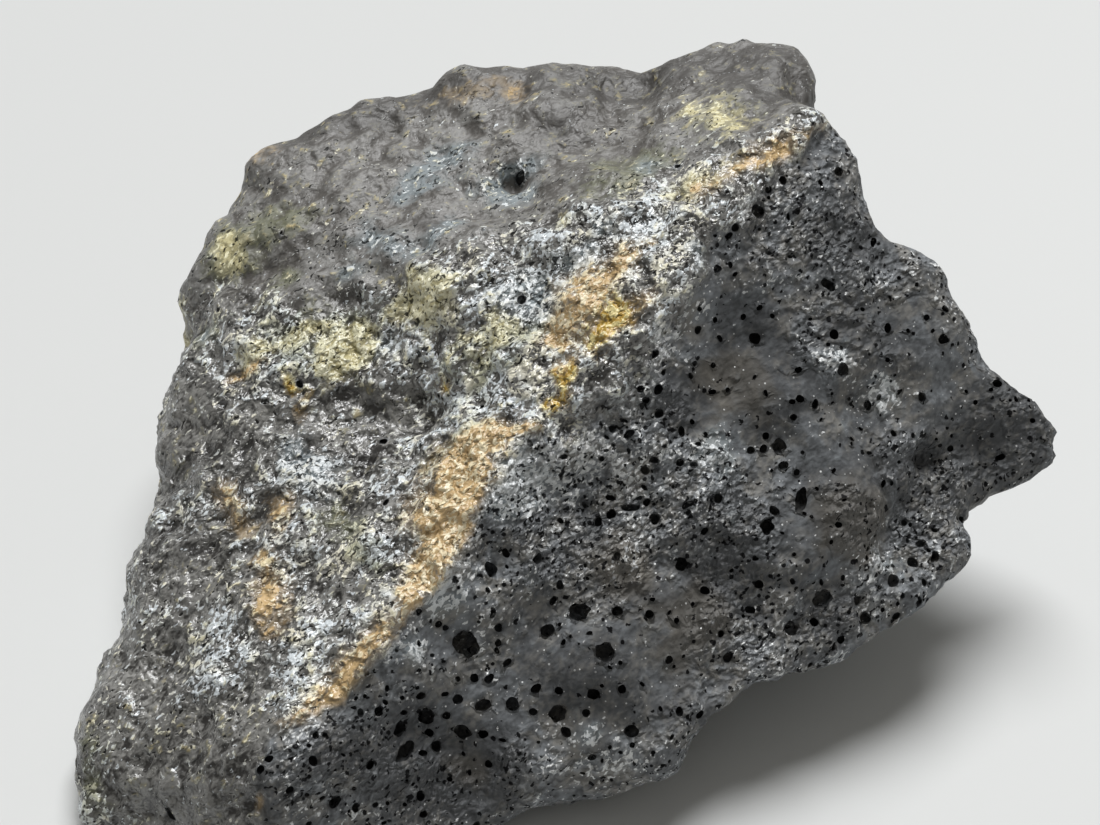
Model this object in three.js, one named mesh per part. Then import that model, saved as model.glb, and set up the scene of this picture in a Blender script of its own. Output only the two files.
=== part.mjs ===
// A meteorite: one broken stone, lying on its flattest side.
// Units are millimetres, +Z is up, and the origin is under the middle of the stone.
import * as THREE from 'three';
import { ConvexHull } from 'three/addons/math/ConvexHull.js';
import { SimplexNoise } from 'three/addons/math/SimplexNoise.js';
import { mergeVertices } from 'three/addons/utils/BufferGeometryUtils.js';

// Driving dimensions: the size of the box that the stone fills.
const LENGTH = 54;
const DEPTH = 46;
const HEIGHT = 24.5;

// Landmarks of the stone's form, as [x, y, z] above the surface it lies on.
const LANDMARKS = {
  // The ridge between the stained crust and the bubbly break, near end first.
  ridge: [
    [-15, -20.5, 6], [-14.5, -18, 8], [-11, -17, 9], [-8.5, -14, 10.5], [-5.5, -11, 11.5],
    [-4, -8, 13.5], [-1, -5, 15], [2.5, -2.5, 17], [5.5, 0.5, 19], [8, 4, 21],
    [11, 7.5, 22.5], [15, 12, 23.5],
  ],
  // The crust between the ridge and the left edge, with its hollow in the middle.
  crust: [
    [-18.5, -9, 8.5], [-19.5, -17, 5], [-16, -13, 8.5], [-17.5, -5, 10.5], [-17.5, 0.5, 12],
    [-12.5, -10.5, 10.5], [-13.5, -5, 11.5], [-14.5, 1.5, 13], [-8, -7, 13], [-11, -0.5, 12.5],
    [-7, -0.5, 13.5], [-8.5, 3.5, 15.5], [-4, -1.5, 16], [-2.5, 2.5, 18], [1, 0.5, 18.5], [4, 3, 20.5],
  ],
  // The long step where the crust turns over to the top.
  step: [
    [-20, 7, 12.5], [-14, 5, 15], [-7, 5.5, 18], [0.5, 5.5, 21], [6, 7, 22.5], [11, 10.5, 23.5],
  ],
  // The top, which dips towards the far left.
  top: [
    [-14.5, 13.5, 17], [-16, 9, 15.5], [-8.5, 12, 18.5], [-7.5, 17, 18.5], [-2.5, 13, 19],
    [0.5, 17, 20], [4, 15, 20], [8.5, 15.5, 22], [12, 17, 23], [-12, 8, 16.5],
  ],
  // The left edge, near end first.
  left: [
    [-25.2, -19, 1.4], [-24.6, -14.4, 4.1], [-22.9, -10.8, 5.7], [-21.9, -7.3, 7.2],
    [-21.2, -2, 8.5], [-21.3, 1, 9.5], [-20.8, 5, 11], [-19.6, 9, 12.3], [-20, 12, 14],
    [-16.9, 14.7, 15.7],
  ],
  // The far edge, left to right.
  far: [
    [-16.8, 16.9, 16.9], [-14.4, 18.4, 17.9], [-10.5, 20, 18.5], [-7.5, 21, 19],
    [-4.1, 22.4, 20.4], [-1, 22.1, 19.6], [1.5, 22, 20], [4.9, 20.8, 19.3], [9.1, 22.3, 21.8],
    [13.1, 21.2, 22.2], [15, 19, 21.5],
    [15, 15.5, 20.5],
  ],
  // The outline of the break, from the peak out to the beak and back to the near end.
  brink: [
    [16.3, 10.4, 21.8], [19.2, 8.1, 19.1], [21.3, 7.6, 18.6], [22.4, 6, 16.5], [24.5, 4.1, 14.1],
    [27.3, 2.5, 12.5], [28.2, 1.4, 11.5], [29.2, 0, 10.5], [28.8, -1, 9.5], [27, -1.5, 9],
    [23.5, -2.2, 8.2], [24.1, -4.1, 7.6], [23.5, -6.1, 6.9], [22.2, -7.1, 6.7], [20.4, -9.5, 6.1],
    [18.2, -10.9, 5.8], [14, -11.6, 6.2], [10.4, -13.5, 6.1], [8, -15.7, 5.3],
    [6, -18.1, 3.8], [3.5, -18.7, 2.5], [1.1, -18.7, 1.8], [-1.5, -19.2, 1.6], [-6.5, -20.5, 1],
    [-13, -22.5, 1],
  ],
  // The bubbly break itself, which is nearly flat with shallow dents.
  broken: [
    [-6.5, -15, 7.5], [-2.5, -16.3, 5.4], [-8, -18.5, 5], [-1.5, -11.7, 8.8], [0.5, -8.5, 11],
    [4, -5.8, 12.8], [2.5, -12.7, 9.5], [5.4, -14.8, 6.8], [7, -2.5, 15], [10, -6.5, 12],
    [9, 1.5, 17], [12, 5.5, 20], [15.5, 7.5, 21], [13.5, -0.5, 15], [17, 3, 17],
    [19, 0, 12.5], [21, 3, 15.5], [24, 1, 12], [23, -0.5, 9.5], [16.3, -6, 10.7],
    [12.3, -10, 8.8], [17.8, -8.1, 7.8], [19, -4, 8.5],
  ],
  // The walls that drop from the left, far and right edges.
  walls: [
    [-24.5, -10.8, 1.7], [-22.9, -3.8, 2.7], [-22.3, 3, 4], [-21.4, 10, 7], [-18.5, 16, 10],
    [-14, 20.5, 11], [-8, 22.5, 12], [-2, 23, 11], [4, 23.5, 12.5], [10, 23, 13], [14.5, 21, 14],
    [15.5, 16, 13], [17, 11, 12], [19.5, 8, 11], [23.5, 4.5, 9.5], [-17.5, 17, 4], [-10, 20.5, 4],
    [-2, 21.5, 5], [6, 21.5, 4.5], [12.5, 18.5, 6], [15.5, 12, 6.5], [19, 7, 6.5],
    [28, 3, 10.5], [29, 1, 9], [26, 0.5, 7.5], [26, 4, 10], [23.5, 2, 7], [21.5, -1.5, 6],
  ],
  // The underside, which is flat where the stone rests and lifts towards the beak.
  underside: [
    [-23, -19.5, -1], [-19, -22, -1], [-12, -21, -1], [-4, -17, -1], [1.5, -12, -1],
    [7.5, -6.5, -1], [11.5, -1.5, -1], [13.5, 5, -1], [10.5, 13.5, -1], [4, 18.5, -1],
    [-5, 18.5, -1], [-13, 16.5, -1], [-18.5, 10, -1], [-21, 2, -1], [-23.5, -8, -1],
    [-12, -10, -1], [-10, 4, -1], [2, -2, -1], [3, 9, -1], [14, -5.5, 3], [17.5, -2, 5],
    [17.5, 4, 4], [9.5, -9, 2],
  ],
};

// Every point of the surface is seen from this one, which the stone is built around.
const HEART = new THREE.Vector3(-1, 4, 7);

// How finely the surface is divided, and how wide its edges are rounded.
const DIVISIONS = 19;
const ROUNDING = 0.035;
const ROUNDING_STEPS = 6;

// Bumps of the surface, as pairs of spacing and height.
const BUMPS = [[10, 0.55], [5, 0.35], [2.6, 0.16]];
const SEED = 20417;

const STONE_FINISH = { color: 0x55544f, roughness: 0.62, metalness: 0.0, flatShading: true };

// A repeatable source of numbers from 0 to 1 (a linear congruential generator).
function repeatableRandom(seed) {
  let state = seed;
  return () => {
    state = (Math.imul(state, 1664525) + 1013904223) >>> 0;
    return state / 2 ** 32;
  };
}

// The landmarks joined into a closed cage of triangles. Points that are neighbours
// seen from the heart are neighbours on the convex hull of their directions.
// A facet's matrix turns a direction into its weights on the three corners.
function buildCage(landmarks, heart) {
  const cornerOf = new Map();
  for (const place of Object.values(landmarks).flat()) {
    const corner = new THREE.Vector3(...place).sub(heart);
    cornerOf.set(corner.clone().normalize(), corner);
  }
  const hull = new ConvexHull().setFromPoints([...cornerOf.keys()]);
  return hull.faces.map((face) => {
    const [a, b, c] = [face.edge, face.edge.next, face.edge.prev].map(
      (edge) => cornerOf.get(edge.head().point),
    );
    return new THREE.Matrix3(a.x, b.x, c.x, a.y, b.y, c.y, a.z, b.z, c.z).invert();
  });
}

// The distance from the heart to the cage along a direction. On the facet that
// the direction meets all three weights are positive, and they add up to one
// over the distance.
function distanceToCage(facets, direction) {
  let best = -Infinity;
  let distance = 0;
  for (const facet of facets) {
    const weights = direction.clone().applyMatrix3(facet);
    const least = Math.min(weights.x, weights.y, weights.z);
    if (least > best) {
      best = least;
      distance = 1 / (weights.x + weights.y + weights.z);
    }
    if (best >= 0) break;
  }
  return distance;
}

// The mean distance over a ring of nearby directions, which rounds the edges.
function roundedDistance(facets, direction) {
  const across = new THREE.Vector3(0, 0, 1).cross(direction);
  if (across.lengthSq() === 0) across.set(1, 0, 0);
  across.normalize();
  let total = distanceToCage(facets, direction);
  for (let step = 0; step < ROUNDING_STEPS; step += 1) {
    const turn = (2 * Math.PI * step) / ROUNDING_STEPS;
    const offset = across.clone().applyAxisAngle(direction, turn).multiplyScalar(ROUNDING);
    total += distanceToCage(facets, direction.clone().add(offset).normalize());
  }
  return total / (ROUNDING_STEPS + 1);
}

// The height of the natural bumps at a point.
function bumpHeight(noise, point) {
  return BUMPS.reduce((sum, [spacing, height]) => {
    const { x, y, z } = point.clone().divideScalar(spacing);
    return sum + height * noise.noise3d(x, y, z);
  }, 0);
}

// The stone's closed surface: evenly spread directions, each carried out to the
// rounded cage, roughened, and cut level where it meets the surface below.
function buildStoneGeometry() {
  const facets = buildCage(LANDMARKS, HEART);
  const noise = new SimplexNoise({ random: repeatableRandom(SEED) });
  const geometry = new THREE.IcosahedronGeometry(1, DIVISIONS);
  geometry.deleteAttribute('normal');
  geometry.deleteAttribute('uv');
  const surface = mergeVertices(geometry, 1e-5);
  const half = new THREE.Vector3(LENGTH, DEPTH, HEIGHT).divideScalar(2);
  const places = surface.getAttribute('position');
  const point = new THREE.Vector3();
  for (let index = 0; index < places.count; index += 1) {
    const direction = point.fromBufferAttribute(places, index).multiply(half).normalize().clone();
    point.copy(direction).multiplyScalar(roundedDistance(facets, direction)).add(HEART);
    point.addScaledVector(direction, bumpHeight(noise, point));
    places.setXYZ(index, point.x, point.y, Math.max(point.z, 0));
  }
  return fitToBox(surface);
}

// The geometry brought to the driving size, standing on the origin.
function fitToBox(geometry) {
  geometry.computeBoundingBox();
  const size = geometry.boundingBox.getSize(new THREE.Vector3());
  geometry.scale(LENGTH / size.x, DEPTH / size.y, HEIGHT / size.z);
  geometry.computeBoundingBox();
  const middle = geometry.boundingBox.getCenter(new THREE.Vector3());
  geometry.translate(-middle.x, -middle.y, -geometry.boundingBox.min.z);
  geometry.computeVertexNormals();
  return geometry;
}

const stone = new THREE.Mesh(buildStoneGeometry(), new THREE.MeshStandardMaterial(STONE_FINISH));
stone.name = 'stone';

const meteorite = new THREE.Group();
meteorite.name = 'meteorite';
meteorite.add(stone);

export default meteorite;
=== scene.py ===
"""A meteorite: a dark, broken, bubbly stone with a stained crust, lying on a pale floor.

Shapes are worked out in millimetres and put into the meshes in metres.
"""

import math

import bpy
import numpy as np
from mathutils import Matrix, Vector
from mathutils.bvhtree import BVHTree


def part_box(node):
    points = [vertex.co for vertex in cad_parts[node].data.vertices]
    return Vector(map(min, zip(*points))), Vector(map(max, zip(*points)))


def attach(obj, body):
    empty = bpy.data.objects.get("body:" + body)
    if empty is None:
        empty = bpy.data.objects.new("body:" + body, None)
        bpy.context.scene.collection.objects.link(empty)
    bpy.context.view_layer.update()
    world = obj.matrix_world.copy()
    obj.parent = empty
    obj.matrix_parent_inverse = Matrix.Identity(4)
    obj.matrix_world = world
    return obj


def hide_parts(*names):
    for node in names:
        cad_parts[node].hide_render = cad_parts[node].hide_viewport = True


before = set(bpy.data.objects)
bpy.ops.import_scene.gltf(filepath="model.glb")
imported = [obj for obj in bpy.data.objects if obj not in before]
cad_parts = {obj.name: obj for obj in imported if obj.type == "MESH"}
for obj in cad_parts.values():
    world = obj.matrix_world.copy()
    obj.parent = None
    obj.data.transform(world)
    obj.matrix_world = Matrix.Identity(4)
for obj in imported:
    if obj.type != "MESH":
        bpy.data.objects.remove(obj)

bl_info = {
    "name": "Meteorite",
    "version": (1, 0, 0),
    "blender": (4, 5, 0),
    "location": "3D View > Sidebar > Meteorite",
    "description": "A dark, broken, bubbly stone with a stained crust on a pale floor",
    "category": "Add Mesh",
}

MM = 0.001
NODE = "stone"
BODY = "root"
CAD_LOW, CAD_HIGH = (np.array(corner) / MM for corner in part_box(NODE))

# The way the crust flowed, along the ridge, and how much its grains are drawn out that way.
FLOW = (0.66, 0.62, 0.42)
GRAIN_DRAW = 0.3

# The scale of the break's grains: under 1 they are larger than the crust's.
BREAK_GRAIN_SCALE = 0.80

# How far a noise is moved aside to give a second one that looks unrelated.
ELSEWHERE = (31.0, 17.0, 53.0)

# The point inside the stone from which its whole surface can be seen.
HEART = np.array([-2.6, 3.3, 7.2])

# Marks on the stone are given where the main camera sees them, in a picture of this size. The
# camera's sensor has this width in millimetres.
PICTURE_WIDTH = 1100
PICTURE_HEIGHT = 825
SENSOR_WIDTH = 36.0

# The ridge between the crust and the break, near end first. Each mark is (x, y, blend), where
# the crust gives way to the break over the blend in millimetres.
RIDGE = (
    (262, 815, 0.2), (265, 742, 0.2), (300, 722, 0.15), (340, 704, 0.15), (365, 672, 0.15),
    (388, 645, 0.2), (415, 612, 0.2), (440, 588, 0.2), (462, 552, 0.3), (472, 522, 0.3),
    (500, 482, 0.3), (535, 440, 0.4), (575, 430, 0.9), (612, 402, 1.1), (655, 345, 1.1),
    (690, 292, 0.8), (706, 250, 0.5), (752, 197, 0.4), (790, 160, 0.3), (819, 132, 0.3),
)
# Where the ridge would run on past the stone's two ends: x and y on the plan, and the blend.
RIDGE_START = (-17.0, -30.0, 0.2)
RIDGE_END = (24.0, 26.0, 0.3)

# The long step where the crust turns over to the calmer top, left end first.
STEP = (
    (192, 335, 2.4), (300, 308, 1.2), (420, 264, 1.2), (560, 216, 1.8), (660, 180, 1.8),
    (750, 134, 1.4),
)
STEP_START = (-40.0, 4.0, 14.0)
STEP_END = (40.0, 22.0, 1.4)

# Stains on the crust. A stroke is a run of (x, y, half width in millimetres), with a strength
# as a fourth number where it isn't 1.
OCHRE_STROKES = (
    ((538, 428, 0.35), (514, 428, 0.6), (492, 438, 0.9), (470, 462, 1.5), (452, 496, 1.9),
     (444, 530, 1.6), (434, 558, 1.1), (416, 592, 0.9), (396, 624, 0.7), (370, 652, 0.8),
     (346, 677, 0.9), (321, 702, 0.8), (294, 724, 0.7)),
    ((646, 248, 0.5, 0.8), (622, 258, 0.9, 0.8), (602, 280, 1.2, 0.85), (580, 306, 1.3, 0.85),
     (560, 338, 0.9, 0.85)),
    ((632, 310, 0.6, 0.9), (604, 338, 0.7)), ((572, 358, 0.6, 0.8), (560, 390, 0.6, 0.8)),
    ((226, 496, 0.8, 0.62), (236, 520, 0.8, 0.62)), ((282, 508, 0.8, 0.7), (280, 530, 0.7, 0.7)),
    ((268, 566, 0.9, 0.65), (270, 596, 0.9, 0.72), (276, 628, 0.7, 0.65)),
    ((700, 192, 0.6, 0.7), (735, 172, 0.7, 0.7), (770, 154, 0.7, 0.7), (818, 130, 0.5, 0.9)),
    ((296, 392, 0.4), (302, 412, 0.5)), ((452, 97, 0.7, 0.5), (515, 87, 0.7, 0.6)),
    ((262, 803, 0.45),), ((262, 370, 0.35, 0.9), (228, 378, 0.4, 0.8)), ((636, 300, 0.7, 0.8),),
)
GOLD_STROKES = (
    ((632, 304, 0.5), (612, 320, 0.8), (600, 344, 0.8)), ((570, 374, 0.55), (556, 404, 0.55)),
    ((571, 449, 0.5, 0.9),), ((446, 386, 0.5, 0.8),),
    ((292, 380, 0.4, 0.8), (300, 400, 0.4, 0.8)),
)
YELLOW_STROKES = (
    ((402, 312, 0.9, 1.3), (424, 300, 1.4, 1.5), (444, 300, 0.9, 1.3)),
    ((330, 370, 0.7, 1.2), (346, 354, 1.0, 1.3), (362, 338, 0.8, 1.2)),
    ((252, 360, 0.7, 0.8), (275, 350, 0.6, 0.8), (305, 336, 0.5), (335, 326, 0.4)),
    ((690, 114, 0.8, 0.7), (714, 116, 1.0, 0.75), (740, 128, 0.7, 0.7)), ((560, 224, 0.5),),
    ((292, 372, 0.35), (300, 384, 0.3)), ((717, 172, 0.8, 0.8), (680, 197, 0.7, 0.8)),
    ((500, 330, 0.9, 0.75), (470, 352, 0.8, 0.75)), ((234, 252, 0.9),),
)
OLIVE_STROKES = (
    ((236, 250, 1.5), (222, 262, 0.9)), ((262, 232, 1.0), (296, 224, 0.8)), ((284, 280, 0.7),),
    ((90, 800, 0.7, 0.6), (92, 745, 0.7, 0.6)), ((200, 340, 0.6), (215, 332, 0.5)),
    ((470, 440, 1.0, 0.8), (440, 470, 0.9, 0.8)), ((330, 520, 0.7, 0.7), (380, 560, 0.8, 0.7)),
    ((611, 166, 1.2, 0.7),), ((720, 120, 1.6, 0.6),),
    ((600, 190, 1.0, 0.8), (660, 160, 1.0, 0.8)), ((480, 370, 1.6, 0.7), (530, 330, 1.2, 0.7)),
    ((290, 340, 1.6, 0.7), (350, 330, 1.4, 0.7)),
)
# The blue-white film, and painted highlights: some strokes lie on silvery glints of the top, round the
# ring crater and on lit lumps and swells of the break.
PALE_FILM_AND_GLINT_STROKES = (
    ((510, 302, 1.0, 1.4), (534, 298, 1.1, 1.4)),
    ((296, 452, 0.9), (312, 474, 1.2), (326, 490, 0.8)),
    ((488, 190, 0.7), (506, 198, 0.8), (528, 188, 0.7)), ((508, 170, 0.6), (530, 166, 0.6)),
    ((472, 150, 0.7, 0.8), (440, 165, 1.2), (408, 190, 0.8)),
    ((372, 240, 0.9, 0.9), (405, 250, 0.9, 0.9)), ((436, 246, 0.7, 0.9), (458, 226, 0.6, 0.9)),
    ((352, 268, 0.5, 0.8),), ((586, 256, 0.6), (560, 262, 0.5)),
    ((442, 566, 0.6), (430, 580, 0.5)), ((506, 470, 1.1), (535, 480, 1.1), (500, 500, 0.9)),
    ((721, 452, 1.0),), ((600, 232, 0.5), (640, 222, 0.6)), ((690, 250, 0.5), (700, 262, 0.4)),
    ((585, 738, 0.8),), ((892, 566, 0.5),), ((206, 336, 0.5),),
    ((360, 350, 0.7, 0.8), (385, 342, 0.6, 0.8)), ((882, 392, 0.7),), ((836, 358, 0.6),),
    ((706, 112, 0.6, 0.8),), ((650, 168, 0.7, 0.8),), ((408, 655, 0.7),), ((438, 600, 1.0),),
    ((455, 392, 0.6, 0.8),),
)
BROWN_STROKES = (
    ((852, 520, 2.6),), ((690, 612, 1.9), (684, 650, 1.4)), ((735, 392, 2.2),),
    ((615, 560, 1.4), (640, 570, 1.1)), ((560, 716, 0.8),), ((470, 768, 1.2),),
    ((300, 240, 2.0), (200, 450, 1.2)), ((550, 82, 2.0), (600, 100, 1.6)),
    ((170, 600, 1.2), (130, 700, 1.4)),
)

# The stains: name, strokes, and the spacing, seed and two limits of the noise that places them
# on the sides that have no strokes.
STAINS = (
    ("ochre", OCHRE_STROKES, 7.0, 61, 0.25, 0.8), ("yellow", YELLOW_STROKES, 5.0, 63, 0.45, 0.95),
    ("gold", GOLD_STROKES, 4.0, 75, 0.75, 1.1),
    ("olive", OLIVE_STROKES, 8.0, 65, 0.3, 0.9), ("pale", PALE_FILM_AND_GLINT_STROKES, 4.0, 67, 0.4, 0.9),
    ("brown", BROWN_STROKES, 9.0, 69, 0.0, 0.8),
)

# How each stain's film lies on the crust, lowest film first: its name, how far patches tear its
# edge, how far flecks open gaps in it, and how strong its body and its halo are.
FILMS = (
    ("olive", 1.2, 0.8, 0.60, 0.35), ("pale", 1.3, 0.7, 0.75, 0.35),
    ("yellow", 1.3, 1.0, 0.85, 0.40), ("ochre", 0.7, 0.5, 0.95, 0.35),
    ("gold", 0.8, 0.9, 0.95, 0.35),
)

# Where the stone is lighter or darker than most of it: partly its own tone, partly painted
# light and shade. The light strokes hold painted highlights along the lit ridge and on lit lumps;
# the dark ones hold painted shade along the back edge, under the tip and over places that catch
# the key light.
LIGHTER_AND_LIT_STROKES = (
    ((710, 112, 1.2), (660, 205, 1.6), (600, 250, 1.6), (555, 340, 2.0), (505, 400, 1.6),
     (435, 480, 1.8), (400, 590, 1.4), (340, 650, 1.4), (290, 700, 1.2)),
    ((640, 262, 1.6), (610, 240, 1.2)), ((690, 270, 1.2), (670, 340, 1.0)),
    ((325, 268, 1.5), (380, 292, 1.8), (440, 290, 1.8), (530, 262, 1.6)), ((500, 320, 1.4),),
    ((440, 370, 1.2), (400, 330, 1.0)), ((240, 345, 1.4, 0.7), (320, 345, 1.4, 0.7)),
    ((250, 200, 1.4, 0.6), (230, 270, 1.4, 0.7)), ((430, 430, 1.5),), ((540, 455, 1.0),),
    ((330, 450, 1.2, 0.3),), ((300, 575, 1.6), (370, 600, 1.4)),
    ((220, 620, 1.6, 0.7), (225, 660, 1.2, 0.5)), ((502, 468, 1.5), (535, 470, 1.5)),
    ((570, 465, 1.5), (625, 480, 1.0, 0.6)), ((690, 460, 1.0, 0.4),), ((448, 560, 1.0),),
    ((436, 608, 1.6),), ((470, 600, 1.2),), ((630, 550, 1.0, 0.5), (650, 575, 0.8, 0.5)),
    ((838, 360, 0.8),), ((882, 392, 0.8),), ((570, 745, 1.2), (620, 750, 1.0)),
    ((880, 585, 1.2, 0.3),), ((490, 190, 0.9), (508, 200, 0.9), (530, 190, 0.9)),
    ((370, 240, 1.0), (405, 250, 1.0)), ((436, 246, 0.8), (460, 226, 0.7)),
    ((440, 166, 1.0, 0.7),),
)
# Darker parts of the stone, and painted shade.
DARKER_AND_SHADED_STROKES = (
    ((290, 140, 1.0, 0.7), (360, 118, 1.2, 0.7), (430, 92, 1.0, 0.7), (520, 80, 0.8),
     (620, 88, 1.2), (690, 66, 1.2), (780, 62, 1.2)),
    ((730, 92, 1.2, 0.8), (785, 96, 1.6)), ((560, 120, 1.6, 0.5),), ((510, 178, 0.6),),
    ((424, 228, 0.7, 0.8),), ((300, 440, 1.0),), ((180, 470, 1.4, 0.8), (240, 460, 1.2, 0.6)),
    ((360, 455, 1.3, 0.6),), ((278, 500, 0.9, 0.6),),
    ((340, 385, 1.1, 0.3), (380, 412, 1.1, 0.4)), ((190, 545, 1.3, 0.8),),
    ((180, 640, 1.2, 0.4),), ((170, 790, 2.0, 0.5), (235, 790, 1.8, 0.7)),
    ((350, 755, 1.5, 0.6),), ((850, 235, 1.6, 0.7),),
    ((850, 332, 1.2, 0.8), (900, 345, 1.2, 0.6)), ((690, 400, 1.3),),
    ((740, 330, 1.3), (745, 375, 1.3)), ((786, 379, 1.6), (760, 400, 1.2)), ((845, 500, 1.8),),
    ((870, 470, 1.6, 0.5), (920, 500, 1.4, 0.3)), ((928, 456, 0.9),),
    ((750, 540, 2.0, 0.5), (700, 600, 2.0, 0.6), (690, 640, 1.2, 0.6)), ((800, 560, 1.4, 0.3),),
    ((640, 590, 1.5, 0.7),), ((600, 540, 1.0, 0.5),), ((545, 670, 1.4, 0.6), (600, 690, 2.0)),
    ((830, 622, 1.0, 0.7),), ((680, 704, 1.2, 0.6),), ((420, 765, 2.0), (480, 775, 1.8)),
    ((990, 450, 1.8, 0.9), (950, 480, 1.4, 0.3)), ((1010, 430, 2.2),),
)

# Where the break is gritty.
GRIT_STROKES = (
    ((500, 490, 1.6), (560, 470, 1.8), (620, 440, 1.6), (650, 400, 1.4)),
    ((560, 540, 1.8), (630, 510, 2.0), (700, 510, 2.0), (740, 560, 1.6)),
    ((740, 210, 1.6, 0.4), (800, 220, 1.8, 0.4), (850, 270, 1.6, 0.3)),
    ((900, 450, 1.2), (940, 500, 1.4), (930, 550, 1.2)),
    ((720, 640, 1.4), (800, 632, 1.6), (860, 600, 1.2)),
    ((290, 770, 1.4), (360, 760, 1.4), (420, 795, 1.4)), ((520, 770, 1.2),),
    ((660, 350, 1.2), (640, 380, 1.2)), ((850, 500, 1.0), (860, 540, 1.0)),
)

# Where the break is smooth and the crust is dull, and how far that goes against the grit.
SMOOTH_SHARE = 0.75
SMOOTH_STROKES = (
    ((800, 425, 2.4), (850, 450, 2.4)), ((700, 385, 1.6), (760, 395, 2.0)), ((890, 410, 1.6),),
    ((720, 320, 1.8), (750, 350, 1.8)), ((680, 640, 2.2), (600, 680, 2.2)),
    ((560, 640, 1.6), (500, 680, 2.0), (460, 720, 1.6)), ((830, 540, 1.8), (780, 600, 1.8)),
    ((920, 330, 1.6), (960, 380, 1.4)), ((440, 620, 1.2),), ((120, 690, 2.4), (170, 790, 2.6)),
    ((245, 745, 1.8),), ((190, 420, 1.8),), ((195, 585, 1.6),),
    ((330, 428, 1.2), (390, 412, 1.3)), ((340, 600, 1.2),),
)

# Soft hollows (positive) and swellings (negative) of the surface, as
# (x, y, half width in millimetres, depth in millimetres).
DENTS = (
    (400, 420, 1.8, 0.55), (352, 384, 1.3, 0.5), (430, 350, 1.1, 0.35), (310, 440, 1.0, -0.25),
    (689, 611, 1.1, 0.45), (926, 458, 0.9, 0.85), (715, 690, 1.0, 0.3), (732, 412, 1.7, 0.5),
    (768, 328, 1.7, -0.4), (845, 372, 0.6, -0.3), (882, 404, 0.7, -0.3), (722, 458, 0.6, -0.25),
    (592, 744, 0.9, -0.3), (460, 768, 1.7, 0.65), (985, 455, 1.6, 0.5), (764, 244, 0.9, 0.4),
    (265, 262, 1.3, 0.45), (560, 430, 1.0, 0.35), (590, 735, 0.9, -0.3), (440, 570, 0.9, -0.3),
    (500, 480, 1.0, -0.25), (640, 92, 1.6, 0.35), (510, 182, 0.7, 0.9), (510, 146, 0.6, -0.3),
    (550, 180, 0.6, -0.35), (472, 186, 0.6, -0.35), (510, 214, 0.6, -0.3), (445, 160, 0.8, 0.3),
    (420, 215, 0.7, -0.25), (352, 240, 0.8, -0.25), (380, 270, 0.8, 0.3), (590, 150, 1.0, 0.3),
    (660, 140, 0.9, -0.25), (250, 340, 1.5, -0.3), (430, 290, 1.6, -0.25), (500, 560, 1.3, 0.25),
    (300, 560, 1.2, 0.3), (230, 620, 1.3, -0.25), (200, 740, 1.3, 0.35), (900, 330, 1.5, 0.25),
    (820, 400, 1.8, -0.3), (870, 600, 1.2, 0.25), (640, 660, 1.3, 0.25), (785, 440, 1.0, 0.3),
)

# The bubbles that stand out, as (x, y, mouth in millimetres, length over width).
BUBBLES = (
    (466, 643, 1.45, 1.0), (579, 610, 1.15, 1.1), (547, 629, 0.78, 1.0), (605, 653, 1.05, 1.0),
    (617, 612, 0.60, 1.0), (483, 707, 0.82, 1.1), (513, 704, 0.76, 1.0), (458, 699, 0.60, 1.0),
    (476, 680, 0.50, 1.0), (557, 716, 1.00, 1.0), (566, 732, 0.60, 1.0), (594, 694, 0.72, 1.0),
    (586, 713, 0.45, 1.0), (428, 722, 0.95, 1.2), (405, 731, 0.80, 1.0), (408, 751, 1.00, 2.0),
    (462, 737, 0.92, 1.0), (440, 746, 0.60, 1.0), (481, 733, 0.50, 1.0), (535, 688, 0.60, 1.0),
    (558, 691, 0.45, 1.0), (533, 712, 0.45, 1.0), (500, 629, 0.55, 1.0), (632, 731, 0.76, 1.0),
    (622, 689, 0.50, 1.0), (494, 567, 0.78, 1.0), (336, 802, 0.66, 1.3), (826, 601, 1.10, 1.0),
    (795, 626, 0.85, 1.0), (817, 619, 0.50, 1.0), (681, 565, 0.72, 1.0), (759, 585, 0.45, 1.0),
    (754, 611, 0.55, 1.6), (731, 663, 0.60, 1.0), (681, 711, 0.50, 1.0), (704, 718, 0.50, 1.0),
    (722, 634, 0.40, 1.0), (868, 618, 0.76, 1.0), (862, 601, 0.60, 1.0), (894, 580, 0.72, 1.0),
    (913, 562, 0.66, 1.0), (934, 557, 0.60, 1.0), (921, 543, 0.55, 1.0), (780, 443, 0.85, 1.0),
    (765, 444, 0.50, 1.0), (753, 450, 0.45, 1.0), (785, 464, 0.50, 1.0), (800, 499, 1.0, 2.4),
    (776, 509, 0.60, 1.0), (767, 527, 0.76, 1.0), (719, 499, 0.50, 1.0), (703, 531, 0.50, 1.0),
    (659, 414, 0.50, 1.0), (630, 508, 0.60, 2.0), (610, 496, 0.55, 1.0), (762, 209, 0.82, 1.0),
    (735, 228, 0.45, 1.0), (783, 180, 0.45, 1.0), (771, 190, 0.45, 1.0), (839, 172, 0.50, 1.0),
    (829, 285, 0.70, 1.8), (842, 370, 0.72, 1.0), (944, 339, 0.55, 1.0), (834, 335, 0.55, 1.0),
    (755, 338, 0.66, 1.0), (521, 300, 0.55, 1.4), (300, 384, 0.40, 1.0), (514, 180, 0.70, 1.4),
    (170, 815, 0.85, 1.0), (312, 760, 0.55, 1.0), (290, 790, 0.50, 1.0), (262, 770, 0.45, 1.0),
    (388, 505, 0.45, 1.0), (384, 440, 0.45, 1.3), (700, 330, 0.50, 1.0), (645, 470, 0.50, 1.0),
    (598, 520, 0.45, 1.0), (655, 520, 0.55, 1.0), (560, 585, 0.45, 1.0), (540, 560, 0.60, 1.0),
    (672, 660, 0.45, 1.0), (650, 615, 0.50, 1.0), (705, 590, 0.45, 1.0), (842, 640, 0.55, 1.0),
)

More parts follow.
